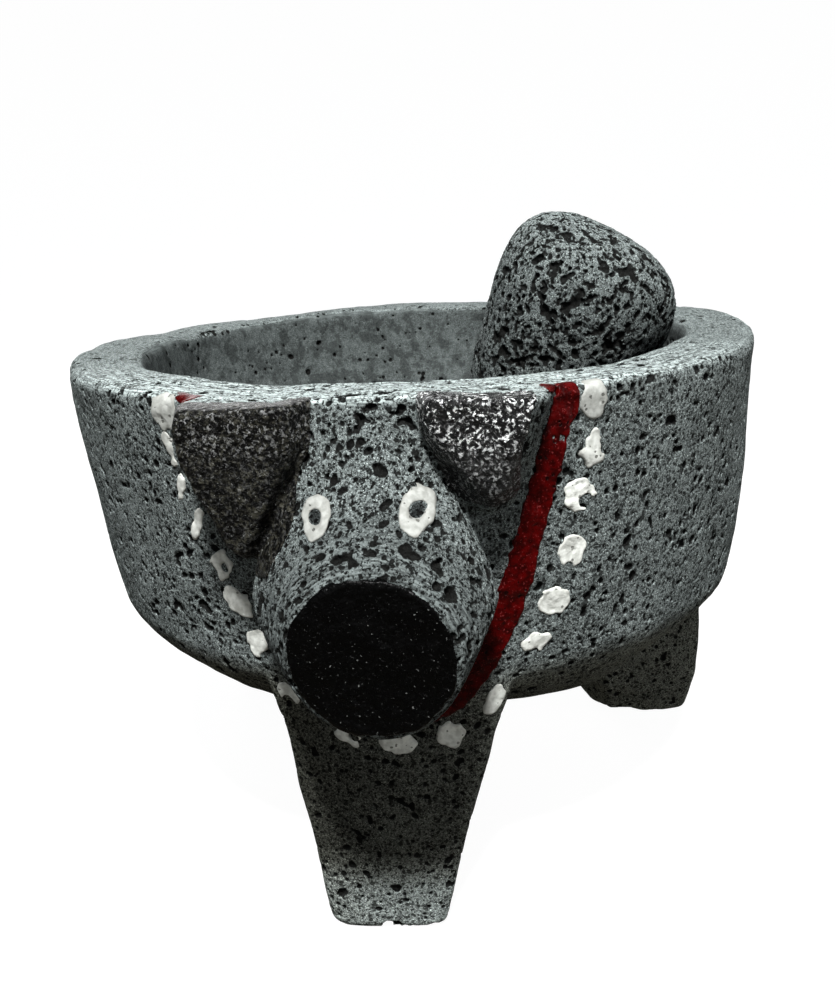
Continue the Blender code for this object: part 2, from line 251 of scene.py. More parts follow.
def mesh_object(name, points, quads, material):
    mesh = bpy.data.meshes.new(name)
    mesh.vertices.add(len(points))
    mesh.vertices.foreach_set("co", (points / 1000).astype(np.float32).ravel())
    mesh.loops.add(quads.size)
    mesh.loops.foreach_set("vertex_index", quads.astype(np.int32).ravel())
    mesh.polygons.add(len(quads))
    mesh.polygons.foreach_set("loop_start", np.arange(0, quads.size, 4, dtype=np.int32))
    mesh.update(calc_edges=True)
    mesh.shade_smooth()
    mesh.materials.append(material)
    obj = bpy.data.objects.new(name, mesh)
    bpy.context.scene.collection.objects.link(obj)
    return obj


def add_value(obj, name, values):
    attribute = obj.data.attributes.new(name, "FLOAT", "POINT")
    attribute.data.foreach_set("value", values.astype(np.float32))


# ---------------------------------------------------------------- materials


class Shader:
    """A Principled material. Each method adds a node and returns its output socket."""

    def __init__(self, name):
        self.material = bpy.data.materials.new(name)
        self.material.use_nodes = True
        self.tree = self.material.node_tree
        self.principled = self.tree.nodes["Principled BSDF"]
        self.here = self.node("ShaderNodeTexCoord").outputs["Object"]
        self.mm = self.scaled(self.here, 1000)

    def set(self, node, socket, value):
        if isinstance(value, bpy.types.NodeSocket):
            self.tree.links.new(value, node.inputs[socket])
        else:
            node.inputs[socket].default_value = value

    def node(self, kind, inputs=None, **settings):
        node = self.tree.nodes.new(kind)
        for key, value in settings.items():
            setattr(node, key, value)
        for socket, value in (inputs or {}).items():
            self.set(node, socket, value)
        return node

    def scaled(self, vector, factor):
        inputs = {0: vector, "Scale": factor}
        return self.node("ShaderNodeVectorMath", inputs, operation="SCALE").outputs[0]

    def math(self, operation, a, b=0.0, c=0.0, clamp=False):
        inputs = {0: a, 1: b, 2: c}
        return self.node("ShaderNodeMath", inputs, operation=operation, use_clamp=clamp).outputs[0]

    def add_vectors(self, a, b):
        return self.node("ShaderNodeVectorMath", {0: a, 1: b}, operation="ADD").outputs[0]

    def noise(self, vector, size, detail=2.0, rough=0.5, output="Fac"):
        inputs = {"Vector": vector, "Scale": 1 / size, "Detail": detail, "Roughness": rough}
        return self.node("ShaderNodeTexNoise", inputs).outputs[output]

    def voronoi(self, vector, size, feature="F1"):
        inputs = {"Vector": vector, "Scale": 1 / size}
        return self.node("ShaderNodeTexVoronoi", inputs, feature=feature).outputs

    def span(self, value, low, high, to_low=0.0, to_high=1.0):
        inputs = {0: value, 1: low, 2: high, 3: to_low, 4: to_high}
        return self.node("ShaderNodeMapRange", inputs, interpolation_type="SMOOTHSTEP").outputs[0]

    def mix(self, share, a, b, blend="MIX"):
        node = self.node("ShaderNodeMix", {0: share, 6: a, 7: b}, data_type="RGBA", blend_type=blend)
        return node.outputs[2]

    def value(self, name):
        return self.node("ShaderNodeAttribute", attribute_name=name).outputs["Fac"]

    def warped(self, size, amount):
        """Millimetre coordinates pushed about by noise."""
        colour = self.noise(self.mm, size, 2.0, output="Color")
        centred = self.node("ShaderNodeVectorMath", {0: colour, 1: (0.5,) * 3}, operation="SUBTRACT")
        return self.add_vectors(self.mm, self.scaled(centred.outputs[0], amount))

    def pits(self, vector, size, most, share):
        """Round pits in the cells of a Voronoi texture: 1 in a pit and 0 outside it."""
        out = self.voronoi(vector, size)
        chance = self.node("ShaderNodeSeparateColor", {0: out["Color"]}).outputs
        radius = self.math("MULTIPLY", self.span(chance[0], 1 - share, 1.0), most)
        depth = self.math("DIVIDE", self.math("SUBTRACT", radius, out["Distance"]), most)
        return self.span(depth, 0.0, 0.2)

    def specks(self, vector, size, share, detail=1.5):
        """Ragged spots that cover about this share: 1 in a spot and 0 outside it."""
        edge = 0.5 + 0.17 * (1 - 2 * share)
        return self.span(self.noise(vector, size, detail, 0.55), edge - 0.012, edge + 0.03)

    def streaks(self, centre, axis, fine, long):
        """Noise drawn out in circles round an axis through centre, in millimetres."""
        parts = self.node("ShaderNodeSeparateXYZ", {0: self.mm}).outputs
        a, b = (self.math("SUBTRACT", parts[i], centre[i]) for i in range(3) if i != axis)
        radius = self.math("SQRT", self.math("MULTIPLY_ADD", a, a, self.math("MULTIPLY", b, b)))
        arc = self.math("MULTIPLY", self.math("ARCTAN2", a, b), 90 / long)
        inputs = {0: self.math("DIVIDE", radius, fine), 1: arc, 2: self.math("DIVIDE", parts[axis], fine)}
        return self.noise(self.node("ShaderNodeCombineXYZ", inputs).outputs[0], 1.0, 2.0, 0.6)

    def shade_colour(self):
        """The stone's lightness, with painted light and shade in it, as a grey that turns to brown where
        the mesh says so; the brown is partly a painted warm bounce.
        """
        tan = self.mix(self.value("tan"), (0.97, 1.0, 1.0, 1), (1.08, 0.98, 0.80, 1))
        return self.scaled(tan, self.value("shade"))

    def bump(self, height, strength=1.0, normal=None):
        """height is in millimetres."""
        inputs = {"Height": height, "Strength": strength, "Distance": 0.001}
        if normal is not None:
            inputs["Normal"] = normal
        return self.node("ShaderNodeBump", inputs).outputs[0]

    def finish(self, colour, roughness, normal=None):
        self.set(self.principled, "Base Color", colour)
        self.set(self.principled, "Roughness", roughness)
        if normal is not None:
            self.set(self.principled, "Normal", normal)
        return self.material


def grey(value, warm=0.0):
    """A grey with the stone's faint green, or a browner one."""
    return (value * (0.90 + 0.22 * warm), value, value * (0.975 - 0.22 * warm), 1)


def basalt(name, streaked=()):
    """Grey stone with pale crystals and dark pores.

    The mesh says how deep a point lies in a pore, how far it stands proud, how light the stone is there
    (its own tone with painted light and shade in it), how brown it is (partly a painted warm bounce)
    and how strongly it is streaked. streaked names those masks, each with what Shader.streaks takes."""
    s = Shader(name)
    wobbly = s.warped(1.4, 1.7)
    fine = s.warped(0.6, 0.75)
    depth = s.value("depth")
    ragged = s.noise(s.mm, 0.45, 2.0, 0.6)

    contrast = s.span(s.value("porous"), 0.0, 1.0, 0.25, 1.0)

    patches = s.noise(s.mm, 17, 3.0, 0.6)
    mottle = s.noise(s.mm, 2.1, 4.0, 0.7)
    grains = s.noise(s.mm, 0.42, 3.0, 0.8)
    crystals = s.math("MULTIPLY", s.specks(s.mm, 0.33, 0.08), contrast)
    tone = s.math("ADD", s.math("MULTIPLY", patches, 0.4), s.math("MULTIPLY", mottle, 0.6))
    colour = s.mix(s.span(tone, 0.36, 0.64), grey(0.10), grey(0.19))
    pale = s.math("MULTIPLY", s.span(grains, 0.50, 0.66, 0.0, 0.80), contrast)
    dark = s.math("MULTIPLY", s.span(grains, 0.50, 0.38, 0.0, 0.75), contrast)
    colour = s.mix(dark, s.mix(pale, colour, grey(0.38)), grey(0.035))
    colour = s.mix(s.math("MULTIPLY", crystals, 0.8), colour, grey(0.62))
    blotches = s.span(s.noise(s.mm, 5.5, 3.0, 0.6), 0.55, 0.40, 0.0, 0.7)
    colour = s.mix(s.math("MULTIPLY", blotches, s.span(contrast, 0.8, 0.4)), colour, grey(0.05))
    streaks = [(mask, s.streaks(*how)) for mask, how in streaked]
    for mask, streak in streaks:
        lines = s.span(streak, 0.40, 0.60)
        lined = s.mix(lines, grey(0.09), grey(0.34))
        colour = s.mix(s.math("MULTIPLY", s.value(mask), 0.75), colour, lined)

    # Pits too small to cut, painted near black: painted shade of pores.
    pits = s.math("MULTIPLY", s.specks(fine, 0.60, 0.27, 2.0), 0.9)
    pits = s.math("MAXIMUM", pits, s.specks(s.warped(1.6, 1.2), 0.85, 0.17, 3.0))
    for size, most, share in ((0.75, 0.44, 0.50), (1.15, 0.46, 0.65), (1.6, 0.45, 0.65)):
        pits = s.math("MAXIMUM", pits, s.pits(fine if size < 1.5 else wobbly, size, most, share))
    pits = s.math("MULTIPLY", pits, s.value("porous"))
    colour = s.mix(s.math("MULTIPLY", pits, 0.96), colour, grey(0.006, 0.4))
    colour = s.mix(1.0, colour, s.shade_colour(), "MULTIPLY")
    # Darker the deeper a point lies in a cut pore: painted shade in the pores.
    deep = s.math("ADD", depth, s.math("MULTIPLY", ragged, 0.30))
    colour = s.mix(s.span(deep, 0.26, 0.52, 0.0, 0.97), colour, grey(0.005, 0.4))

    height = s.math("MULTIPLY", grains, 0.20)
    height = s.math("ADD", height, s.math("MULTIPLY", mottle, 0.30))
    height = s.math("SUBTRACT", height, s.math("MULTIPLY", pits, 0.35))
    for mask, streak in streaks:
        height = s.math("ADD", height, s.math("MULTIPLY", streak, s.math("MULTIPLY", s.value(mask), 0.5)))
    roughness = s.span(crystals, 0.0, 1.0, 0.85, 0.45)
    s.principled.inputs["Specular IOR Level"].default_value = 0.06
    return s.finish(colour, roughness, s.bump(height, 1.0))


def black_paint(name, dull, worn, rough, relief, flecks, shine, specular):
    """Black paint: dull and worn are its two tones, relief its grit's height in millimetres.

    rough is its least and most roughness. flecks sets the share of pale specks, partly pale flecks in the
    paint and partly painted sparkle, and below zero there are next to none. shine is how bright the painted
    highlights are where the mesh says that it glints: near-white clusters in the colour. specular is the
    shader's specular level."""
    s = Shader(name)
    grit = s.noise(s.mm, 0.7, 3.0, 0.65)
    lumps = s.noise(s.mm, 2.2, 2.0)
    scuffs = s.noise(s.warped(2.5, 3.0), 1.3, 4.0, 0.7)
    glint = s.value("glint")
    colour = s.mix(s.span(scuffs, 0.48, 0.62), dull, worn)
    # Pale specks: partly pale flecks in the paint, partly painted sparkle.
    bare = s.specks(s.warped(1.0, 1.0), 0.55, flecks)
    colour = s.mix(s.math("MULTIPLY", bare, 0.6), colour, (0.24, 0.25, 0.24, 1))
    # Near-white clusters where the mesh glints: painted highlights.
    clusters = s.math("MULTIPLY", s.specks(s.warped(1.2, 1.2), 0.95, 0.40, 4.0), s.span(grit, 0.42, 0.54))
    uneven = s.span(s.noise(s.mm, 3.2, 2.0), 0.36, 0.58, 0.35, 1.0)
    painted_glints = s.math("MULTIPLY", s.math("MULTIPLY", clusters, glint), s.math("MULTIPLY", uneven, shine))
    colour = s.mix(painted_glints, colour, (0.92, 0.94, 0.93, 1))
    # Pores painted near black: painted shade in them.
    pores = s.math(
        "MAXIMUM", s.pits(s.warped(0.9, 0.8), 1.5, 0.43, 0.7), s.specks(s.warped(1.2, 1.2), 0.8, 0.16, 2.0)
    )
    colour = s.mix(s.math("MULTIPLY", pores, 0.9), colour, (0.001, 0.001, 0.001, 1))
    height = s.math("ADD", s.math("MULTIPLY", grit, relief), s.math("MULTIPLY", lumps, 0.25))
    height = s.math("SUBTRACT", height, s.math("MULTIPLY", pores, relief))
    s.principled.inputs["Specular IOR Level"].default_value = specular
    return s.finish(colour, s.span(grit, 0.3, 0.7, rough[1], rough[0]), s.bump(height, 1.0))


def white_paint(name):
    s = Shader(name)
    grit = s.noise(s.mm, 0.5, 3.0, 0.6)
    lumps = s.noise(s.mm, 1.6, 2.0)
    holes = s.pits(s.warped(0.7, 0.5), 1.2, 0.36, 0.50)
    colour = s.mix(s.span(lumps, 0.3, 0.7), (0.38, 0.39, 0.36, 1), (0.56, 0.575, 0.54, 1))
    colour = s.mix(s.math("MULTIPLY", holes, 0.8), colour, (0.08, 0.08, 0.07, 1))
    colour = s.mix(s.span(s.value("thin"), 0.2, 1.0, 0.0, 0.5), colour, (0.22, 0.22, 0.20, 1))
    # Scaled by the mesh's white tone, which on the lower dabs is raised as painted light.
    colour = s.scaled(colour, s.value("white_tone_and_painted_light"))
    height = s.math("ADD", s.math("MULTIPLY", grit, 0.10), s.math("MULTIPLY", lumps, 0.14))
    height = s.math("SUBTRACT", height, s.math("MULTIPLY", holes, 0.2))
    s.principled.inputs["Specular IOR Level"].default_value = 0.2
    return s.finish(colour, s.span(grit, 0.3, 0.7, 0.55, 0.75), s.bump(height, 0.9))


def red_paint(name):
    s = Shader(name)
    grit = s.noise(s.mm, 0.6, 3.0, 0.6)
    lumps = s.noise(s.mm, 1.8, 2.0)
    holes = s.pits(s.warped(0.9, 0.6), 1.5, 0.38, 0.42)
    flecks = s.specks(s.mm, 0.5, 0.05)
    colour = s.mix(s.span(lumps, 0.3, 0.7), (0.018, 0.0002, 0.0002, 1), (0.062, 0.0006, 0.0007, 1))
    colour = s.mix(s.math("MULTIPLY", flecks, 0.4), colour, (0.30, 0.05, 0.05, 1))
    # Holes painted near black: painted shade in them.
    colour = s.mix(s.math("MULTIPLY", holes, 0.9), colour, (0.006, 0.001, 0.001, 1))
    height = s.math("ADD", s.math("MULTIPLY", grit, 0.12), s.math("MULTIPLY", lumps, 0.20))
    height = s.math("SUBTRACT", height, s.math("MULTIPLY", holes, 0.3))
    s.principled.inputs["Specular IOR Level"].default_value = 0.1
    return s.finish(colour, s.span(grit, 0.3, 0.7, 0.25, 0.4), s.bump(height, 0.9))


# ---------------------------------------------------------------- the stone

MORTAR_LOW, MORTAR_HIGH = box_mm("mortar")
AXIS = np.array([0, MORTAR_HIGH[1] - MORTAR_HIGH[0]])
RIM = MORTAR_HIGH[2]
SNOUT = (np.array(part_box("snout_paint")[0]) + np.array(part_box("snout_paint")[1])) * 500
TEJOLOTE_LOW, TEJOLOTE_HIGH = box_mm("tejolote")
EYE_BOXES = [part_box("eye_paint_left"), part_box("eye_paint_right")]
PUPILS = [(500 * (low[0] + high[0]), 500 * (low[2] + high[2])) for low, high in EYE_BOXES]

# Pores, in sets: how many are tried, least and most half-width, and most stretch.
PORES = ((31000, 0.38, 0.66, 1.8), (3300, 0.55, 0.85, 1.8), (130, 0.9, 1.25, 1.9))
TEJOLOTE_PORES = ((7500, 0.38, 0.62, 1.8), (900, 0.55, 0.85, 1.8))

# Single cavities on the front: place across, drop, tilt in degrees and half-widths.
CAVITIES = (
    (10.8, 27.0, 25, (2.0, 0.8, 1.0)),
    (-6.2, 27.5, -40, (1.4, 1.0, 1.1)),
    (-21.5, 41.0, 70, (1.9, 1.0, 1.2)),
    (-42.0, 52.0, 35, (3.6, 0.8, 0.9)),
    (-3.0, 139.5, 0, (2.6, 2.0, 1.6)),
)

# Where the carving isn't round: azimuth, radius, drop, reach and amount.
MORTAR_BULGES = (
    (74.8, 98.8, 4, 24, -0.9),
    (74.8, 97, 44, 36, 1.2),
    (-61, 97, 32, 36, 0.9),
    (-52, 84, 82, 34, -1.6),
    (-40, 82, 86, 30, -1.6),
    (32, 82, 89, 24, 1.6),
    (45, 76, 92, 26, 1.4),
    (101, 92, 120, 34, 2.7),
    (98, 64, 140, 15, -3.2),
    (-90, 98, 0, 40, 1.3),
    (-72, 99, 3, 20, 0.9),
    (-117, 98, 0, 28, 0.8),
    (105, 98, 0, 28, 1.1),
    (-17.6, 96, 82, 17, -0.7),
    (14.5, 96, 82, 17, 0.5),
    (13.1, 106, 53, 15, -2.0),
)

# Where the tejolote isn't round: shares of its box across and up, reach and amount.
TEJOLOTE_BULGES = ((0.48, 1.0, 17, 1.4), (0.26, 0.85, 18, -0.4), (0.97, 0.88, 24, -1.9))

# The chisel's grooves round the muzzle, and the broken undersides of the feet.
GROOVE_PITCH = 0.9
GROOVE_DEPTH = 0.09
FOOT_CHIP_LEVEL = 6
FOOT_CHIP_DEPTH = 0.75


def round_axis(points):
    """Distance from the bowl's axis, and drop below the rim."""
    across = points[:, :2] - AXIS
    return np.hypot(across[:, 0], across[:, 1]), RIM - points[:, 2]


def in_cavity(points):
    radius, drop = round_axis(points)
    return (radius < 81) & (drop < 73.5) & ((radius / 80.5) ** 2 + (drop / 74) ** 2 < 1)


def pores_for(node, base, count, least, most, longest, rng, weight=None):
    """Centres just under the worn surface, half-widths and turns, for about this many pores."""
    points, normals = surface_samples(node, count, rng)
    points = points - normals * base.at(points)[:, None]
    if weight is not None:
        keep = rng.random(count) < weight(points, normals)
        points, normals = points[keep], normals[keep]
    radius = least + (most - least) * rng.random(len(points)) ** 1.6
    stretch = 1 + (longest - 1) * rng.random(len(points)) ** 1.5
    flat = 0.75 + 0.3 * rng.random(len(points))
    sizes = np.stack([radius * stretch, radius, radius * flat], 1)
    centres = points - normals * (radius * (0.15 + 0.5 * rng.random(len(points))))[:, None]
    return centres, sizes, random_turns(len(points), rng)


def mortar_pore_weight(points, normals):
    inside = in_cavity(points + 1.5 * normals)
    _, drop = round_axis(points)
    weight = np.where(inside, 0.12, 0.50)
    weight = np.where((drop < 0.5) & ~inside, 0.45, weight)
    return np.where(on_head(points) > 0.5, 1.0, weight)


def on_head(points):
    """1 on the carved head in front of the wall, 0 elsewhere."""
    radius, drop = round_axis(points)
    return ease(radius, 97, 100) * ease(points[:, 1], AXIS[1] - 80, AXIS[1] - 88) * ease(drop, 80, 76)


def front_of(field, across, drop):
    """The foremost point of the stone at this place across and below the rim."""
    depths = np.arange(MORTAR_LOW[1] - 2, AXIS[1], 0.25)
    line = np.stack([np.full_like(depths, across), depths, np.full_like(depths, RIM - drop)], 1)
    return line[np.argmax(field.at(line.astype(np.float32)) < 0)]


def tool_marks(field, rng):
    """Shallow grooves round the muzzle, cut by a chisel that went round the snout."""
    heights = field.positions()[:, 1].reshape(field.values.shape)[0, :, 0]
    grooves = np.arange(-130, 130, GROOVE_PITCH)
    table = np.interp(heights, grooves, rng.standard_normal(len(grooves)))
    where = ease(heights, SNOUT[1] + 11, SNOUT[1] + 3) * ease(heights, SNOUT[1] - 1, SNOUT[1] + 1)
    uneven = 0.6 + 0.4 * lattice_noise(field.values.shape, field.step, 14, rng)
    field.values += (GROOVE_DEPTH * table * where)[None, :, None] * uneven


def rough_feet(field, rng):
    """The feet stand on one plane and are left as they broke: uneven underneath."""
    levels = field.corner[2] + field.step * np.arange(field.values.shape[2])
    field.values = np.maximum(field.values, (MORTAR_LOW[2] - levels).astype(np.float32))
    low = np.clip(1 - levels / FOOT_CHIP_LEVEL, 0, 1) * (levels > -4)
    bumps = np.clip(lattice_noise(field.values.shape, field.step, 7, rng) + 0.4, 0, 2)
    field.values += (FOOT_CHIP_DEPTH * low * bumps).astype(np.float32)


def mortar_fields():
    rng = np.random.default_rng(11)
    field = distance_field("mortar", MORTAR_STEP)
    shape = field.values.shape
    field.values = blurred(field.values, 2)
    for azimuth, radius, drop, reach, amount in MORTAR_BULGES:
        turn = math.radians(azimuth)
        centre = (radius * math.sin(turn), AXIS[1] - radius * math.cos(turn), RIM - drop)
        grow(field, centre, reach, amount)
    for wavelength, height in ((24, 0.36), (9, 0.15), (3.2, 0.07)):
        field.values += height * lattice_noise(shape, MORTAR_STEP, wavelength, rng)
    tool_marks(field, rng)
    rough_feet(field, rng)
    base = Field(field.values.copy(), field.corner, field.step)
    warp = lattice_noise(shape, MORTAR_STEP, 1.5, rng)
    for count, least, most, longest in PORES:
        pores = pores_for("mortar", base, count, least, most, longest, rng, mortar_pore_weight)
        carve(field, warp, *pores)
    for across, drop, tilt, sizes in CAVITIES:
        turn = np.array(Matrix.Rotation(math.radians(tilt), 3, "Y"))
        centre = front_of(base, across, drop) + (0, 0.3 * sizes[2], 0)
        carve(field, warp, [centre], np.array([sizes]), [turn.T])
    return field, base


def tejolote_fields():
    rng = np.random.default_rng(23)
    field = distance_field("tejolote", TEJOLOTE_STEP)
    shape = field.values.shape
    for wavelength, height in ((22, 0.35), (8, 0.2), (3.0, 0.08)):
        field.values += height * (lattice_noise(shape, TEJOLOTE_STEP, wavelength, rng) + 0.6)
    for across, level, reach, amount in TEJOLOTE_BULGES:
        centre = TEJOLOTE_LOW + (TEJOLOTE_HIGH - TEJOLOTE_LOW) * (across, 0.5, level)
        grow(field, centre, reach, amount)
    base = Field(field.values.copy(), field.corner, field.step)
    warp = lattice_noise(shape, TEJOLOTE_STEP, 1.3, rng)
    for count, least, most, longest in TEJOLOTE_PORES:
        carve(field, warp, *pores_for("tejolote", base, count, least, most, longest, rng))
    return field, base


def stone_piece(name, node, field, base, material, looks):
    """The stone's mesh. looks gives each point its lightness (with painted light and shade in it), brown,
    pores and streaks by name.
    """
    points, quads = surface_of(field)
    obj = mesh_object(name, points, quads, material)
    add_value(obj, "depth", -base.at(points))
    for look, values in looks(points).items():
        add_value(obj, look, values)
    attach(obj, "tejolote" if node == "tejolote" else "mortar")
    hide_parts(node)
    return obj


def mortar_looks(points):
    radius, drop = round_axis(points)
    head = on_head(points)
    muzzle = ease(points[:, 1], SNOUT[1] + 18, SNOUT[1] + 8) * head
    # Rim: paler where it is worn smooth, with a painted sheen on top of that; the extra at the front is a
    # painted highlight where the rim catches glancing light.
    rim = ease(drop, 2.2, 0.6) * (radius > 77)
    # Belly: darker and browner underneath, painted shade and a painted warm bounce light, with a brown
    # stain on the lower left.
    belly = ease(drop, 62, 72)
    # Front foot: lighter and less brown, painted light where the key light falls below the snout's shadow.
    lit_foot = ease(points[:, 2], 26, 12) * (points[:, 1] < 0)
    # Front leg under the snout: darker, the snout's shadow painted on.
    throat_shadow = ease(points[:, 2], 72, 62) * ease(points[:, 2], 14, 28) * ease(points[:, 1], -50, -62)
    inside = in_cavity(points)
    front = ease(points[:, 1], AXIS[1] - 30, AXIS[1] - 85)
    left = ease(points[:, 0], 0, -35)
    # Stone lightness: darker on the head, the muzzle and inside the bowl; the rim, belly, foot, throat and
    # pupil terms carry painted light and shade as noted above them.
    shade = (1 - 0.12 * head - 0.32 * muzzle) * (1 + (0.1 + 0.72 * front) * rim)
    shade *= (1 - (0.05 + 0.3 * left) * belly) * (1 + 1.3 * lit_foot) * (1 - 0.38 * inside) * (1 - 0.4 * throat_shadow)
    # Bare stone in the pupils made darker: painted shade in the hole that the ring of paint leaves.
    for across, level in PUPILS:
        away = np.hypot(points[:, 0] - across, points[:, 2] - level)
        shade *= 1 - 0.85 * ease(away, 1.7, 0.9) * head
    porous = 0.9 + 0.1 * head - 0.6 * inside - 0.3 * rim * (1 - front)
    return {
        "shade": shade,
        "tan": np.clip((0.6 + 0.3 * left) * belly - 0.5 * lit_foot, 0, 1),
        "porous": porous,
        "rim": rim * (0.4 + 0.6 * front),
        "marks": 0.9 * ease(points[:, 1], SNOUT[1] + 12, SNOUT[1] + 4) * head,
    }


def tejolote_looks(points):
    height = (points[:, 2] - TEJOLOTE_LOW[2]) / (TEJOLOTE_HIGH[2] - TEJOLOTE_LOW[2])
    # Lighter towards the top: painted light from the key above.
    shade = 0.60 + 0.46 * ease(height, 0.6, 1.0)
    return {"shade": shade, "tan": np.zeros(len(points)), "porous": np.ones(len(points))}


# ---------------------------------------------------------------- the paint

# Red at the band's ends: distance round the wall, drop and half-widths. It stops on the rim's edge.
BAND_SPLASHES = ((43.6, 3.4, 2.6, 5.6), (39.4, 0.6, 1.6, 0.9), (-40.6, 0.5, 3.2, 1.2))
RIM_EDGE = 95.6

# On the left the red shows only at the rim. It ends behind the cheek.
BAND_LEFT_END = -24.0
BAND_LEFT_TOP = 2.2

# White dabs: half-widths, tilt, and bites taken out of them in half-widths (across, up, radius).
DABS = (
    (3.2, 4.3, 4, ()),
    (2.9, 3.8, 0, ((0.95, 0.15, 0.5),)),
    (3.7, 4.0, 10, ((0.40, -0.55, 0.38),)),
    (3.5, 3.8, -10, ((-0.1, -0.95, 0.25),)),
    (3.7, 3.7, 30, ((-0.5, 0.95, 0.3),)),
    (4.0, 2.5, 22, ((-0.75, -1.1, 0.7), (0.6, -1.2, 0.5))),
    (2.2, 4.2, -25, ()),
    (3.5, 3.5, 20, ((0.7, 0.8, 0.3),)),
    (4.2, 3.3, 0, ((0.1, 1.6, 0.85),)),
    (3.6, 2.5, -35, ((0.3, 0.2, 0.32),)),
    (3.2, 2.6, -40, ((0.6, -0.9, 0.7),)),
    (2.9, 3.5, -25, ((-0.9, -0.9, 0.5),)),
    (4.4, 3.4, -35, ()),
    (3.3, 3.6, -30, ((0.35, 0.1, 0.30), (-0.6, -0.9, 0.5))),
    (1.5, 4.0, -24, ()),
    (1.3, 4.5, -20, ()),
    (1.2, 4.5, 4, ()),
    (4.1, 4.4, 0, ((-0.9, -1.1, 0.4),)),
)

# How light the white paint is. The dabs are made whiter further down, painted light on the dabs that lie in
# shade there.
EYE_LIGHT = 0.64
DAB_DROPS = (2, 26)
DAB_LIGHTS = (0.72, 1.45)

# Painted highlights on the black paint, near-white clusters in its colour: full near the rim, this much of
# them further down.
GLINT_BELOW = 0.26
GLINT_DROPS = (13, 6)

# How far the ears' black goes past the flat face: towards the brow, near the tip, and back.
EAR_BROW_REACH = 3.6
EAR_TIP_REACH = 3.4
EAR_BACK = 8.5

PUPIL_RADIUS = 1.5


def coat_frame(node):
    """A coat's centre, outward normal, and the two directions along it, from its CAD node."""
    points, triangles = node_mesh(node)
    centre = (points.min(0) + points.max(0)) / 2
    away = centre - np.array([AXIS[0], AXIS[1], centre[2]])
    normal = away / np.linalg.norm(away)
    across = np.cross([0, 0, 1], normal)
    across /= np.linalg.norm(across)
    return centre, normal, across, np.cross(normal, across)


def coat_field(node, pad, rng, region, thickness, bare, ragged):
    """A coat on the stone inside a region.

    It reaches over a pore by bare and stays open beyond. ragged is how uneven the region's edge gets."""
    low, high = box_mm(node)
    low, high = low - pad, high + pad
    shape = tuple(np.ceil((high - low) / PAINT_STEP).astype(int) + 1)
    field = Field(np.zeros(shape, np.float32), low, PAINT_STEP)
    points = field.positions()
    stone = mortar.at(points)
    base = mortar_base.at(points)
    edge = region(points) + ragged * lattice_noise(shape, PAINT_STEP, 1.1, rng).ravel()
    lumps = thickness * np.clip(1 + 0.35 * lattice_noise(shape, PAINT_STEP, 2.0, rng).ravel(), 0.6, 1.7)
    top = np.maximum(np.minimum(stone, base + 0.2) - lumps, stone - lumps - bare)
    value = smooth_max(top, edge, 0.35)
    value = np.maximum(value, -(stone + 0.6))
    field.values = value.reshape(shape).astype(np.float32)
    return field


def coat(name, node, pad, seed, region, material, thickness, bare, ragged=0.12, white_tone_and_painted_light=1.0):
    """A piece of paint that rides on the mortar. Its last argument is how light white paint is, raised on
    the lower dabs as painted light.
    """
    rng = np.random.default_rng(seed)
    field = coat_field(node, pad, rng, region, thickness, bare, ragged)
    for side in range(3):
        for end in (0, -1):
            np.moveaxis(field.values, side, 0)[end] = 1
    points, quads = surface_of(field)
    obj = mesh_object(name, points, quads, material)
    add_value(obj, "thin", np.clip(1 + region(points) / 0.8, 0, 1))
    add_value(obj, "white_tone_and_painted_light", np.full(len(points), white_tone_and_painted_light))
    # Where the black paint's painted highlights are full, and how much of them further down.
    glint = ease(points[:, 2], *(RIM - drop for drop in GLINT_DROPS))
    add_value(obj, "glint", GLINT_BELOW + (1 - GLINT_BELOW) * glint)
    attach(obj, "mortar")
    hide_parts(node)
    return obj


def uneven(seed, last, amount, power):
    """An outline's unevenness at an angle round its middle: waves that weaken with their order."""
    rng = np.random.default_rng(seed)
    waves = [
        (k, amount * rng.standard_normal() / k**power, rng.random() * 6.28) for k in range(2, last + 1)
    ]
    return lambda angle: sum(a * np.cos(k * angle + phase) for k, a, phase in waves)


def blob(node, half_width, half_height, seed, tilt=0.0, bites=(), rough=0.05):
    """A dab's outline, laid on the wall. A bite is (across, up, radius) in half-widths."""
    centre, normal, across, up = coat_frame(node)
    swell = uneven(seed, 7, rough, 0.5)
    c, s = math.cos(math.radians(tilt)), math.sin(math.radians(tilt))

    def region(points):
        away = points - centre
        x, y = away @ across, away @ up
        x, y = (c * x + s * y) / half_width, (c * y - s * x) / half_height
        limit = 1 + swell(np.arctan2(y, x))
        edge = (np.hypot(x, y) - limit) * min(half_width, half_height)
        edge = np.maximum(edge, np.abs(away @ normal) - 3.0)
        for bx, by, br in bites:
            edge = np.maximum(edge, (br - np.hypot(x - bx, y - by)) * min(half_width, half_height))
        return edge

    return region


def hull_of(node):
    """The outline of a coat seen from the front, counter-clockwise in (x, z)."""
    points, _ = node_mesh(node)
    flat = sorted({(round(float(p[0]), 3), round(float(p[2]), 3)) for p in points})
    chains = []
    for order in (flat, flat[::-1]):
        chain = []
        for p in order:
            while len(chain) > 1 and cross_of(chain[-2], chain[-1], p) <= 0:
                chain.pop()
            chain.append(p)
        chains += chain[:-1]
    return np.array(chains)


def cross_of(a, b, c):
    return (b[0] - a[0]) * (c[1] - a[1]) - (b[1] - a[1]) * (c[0] - a[0])


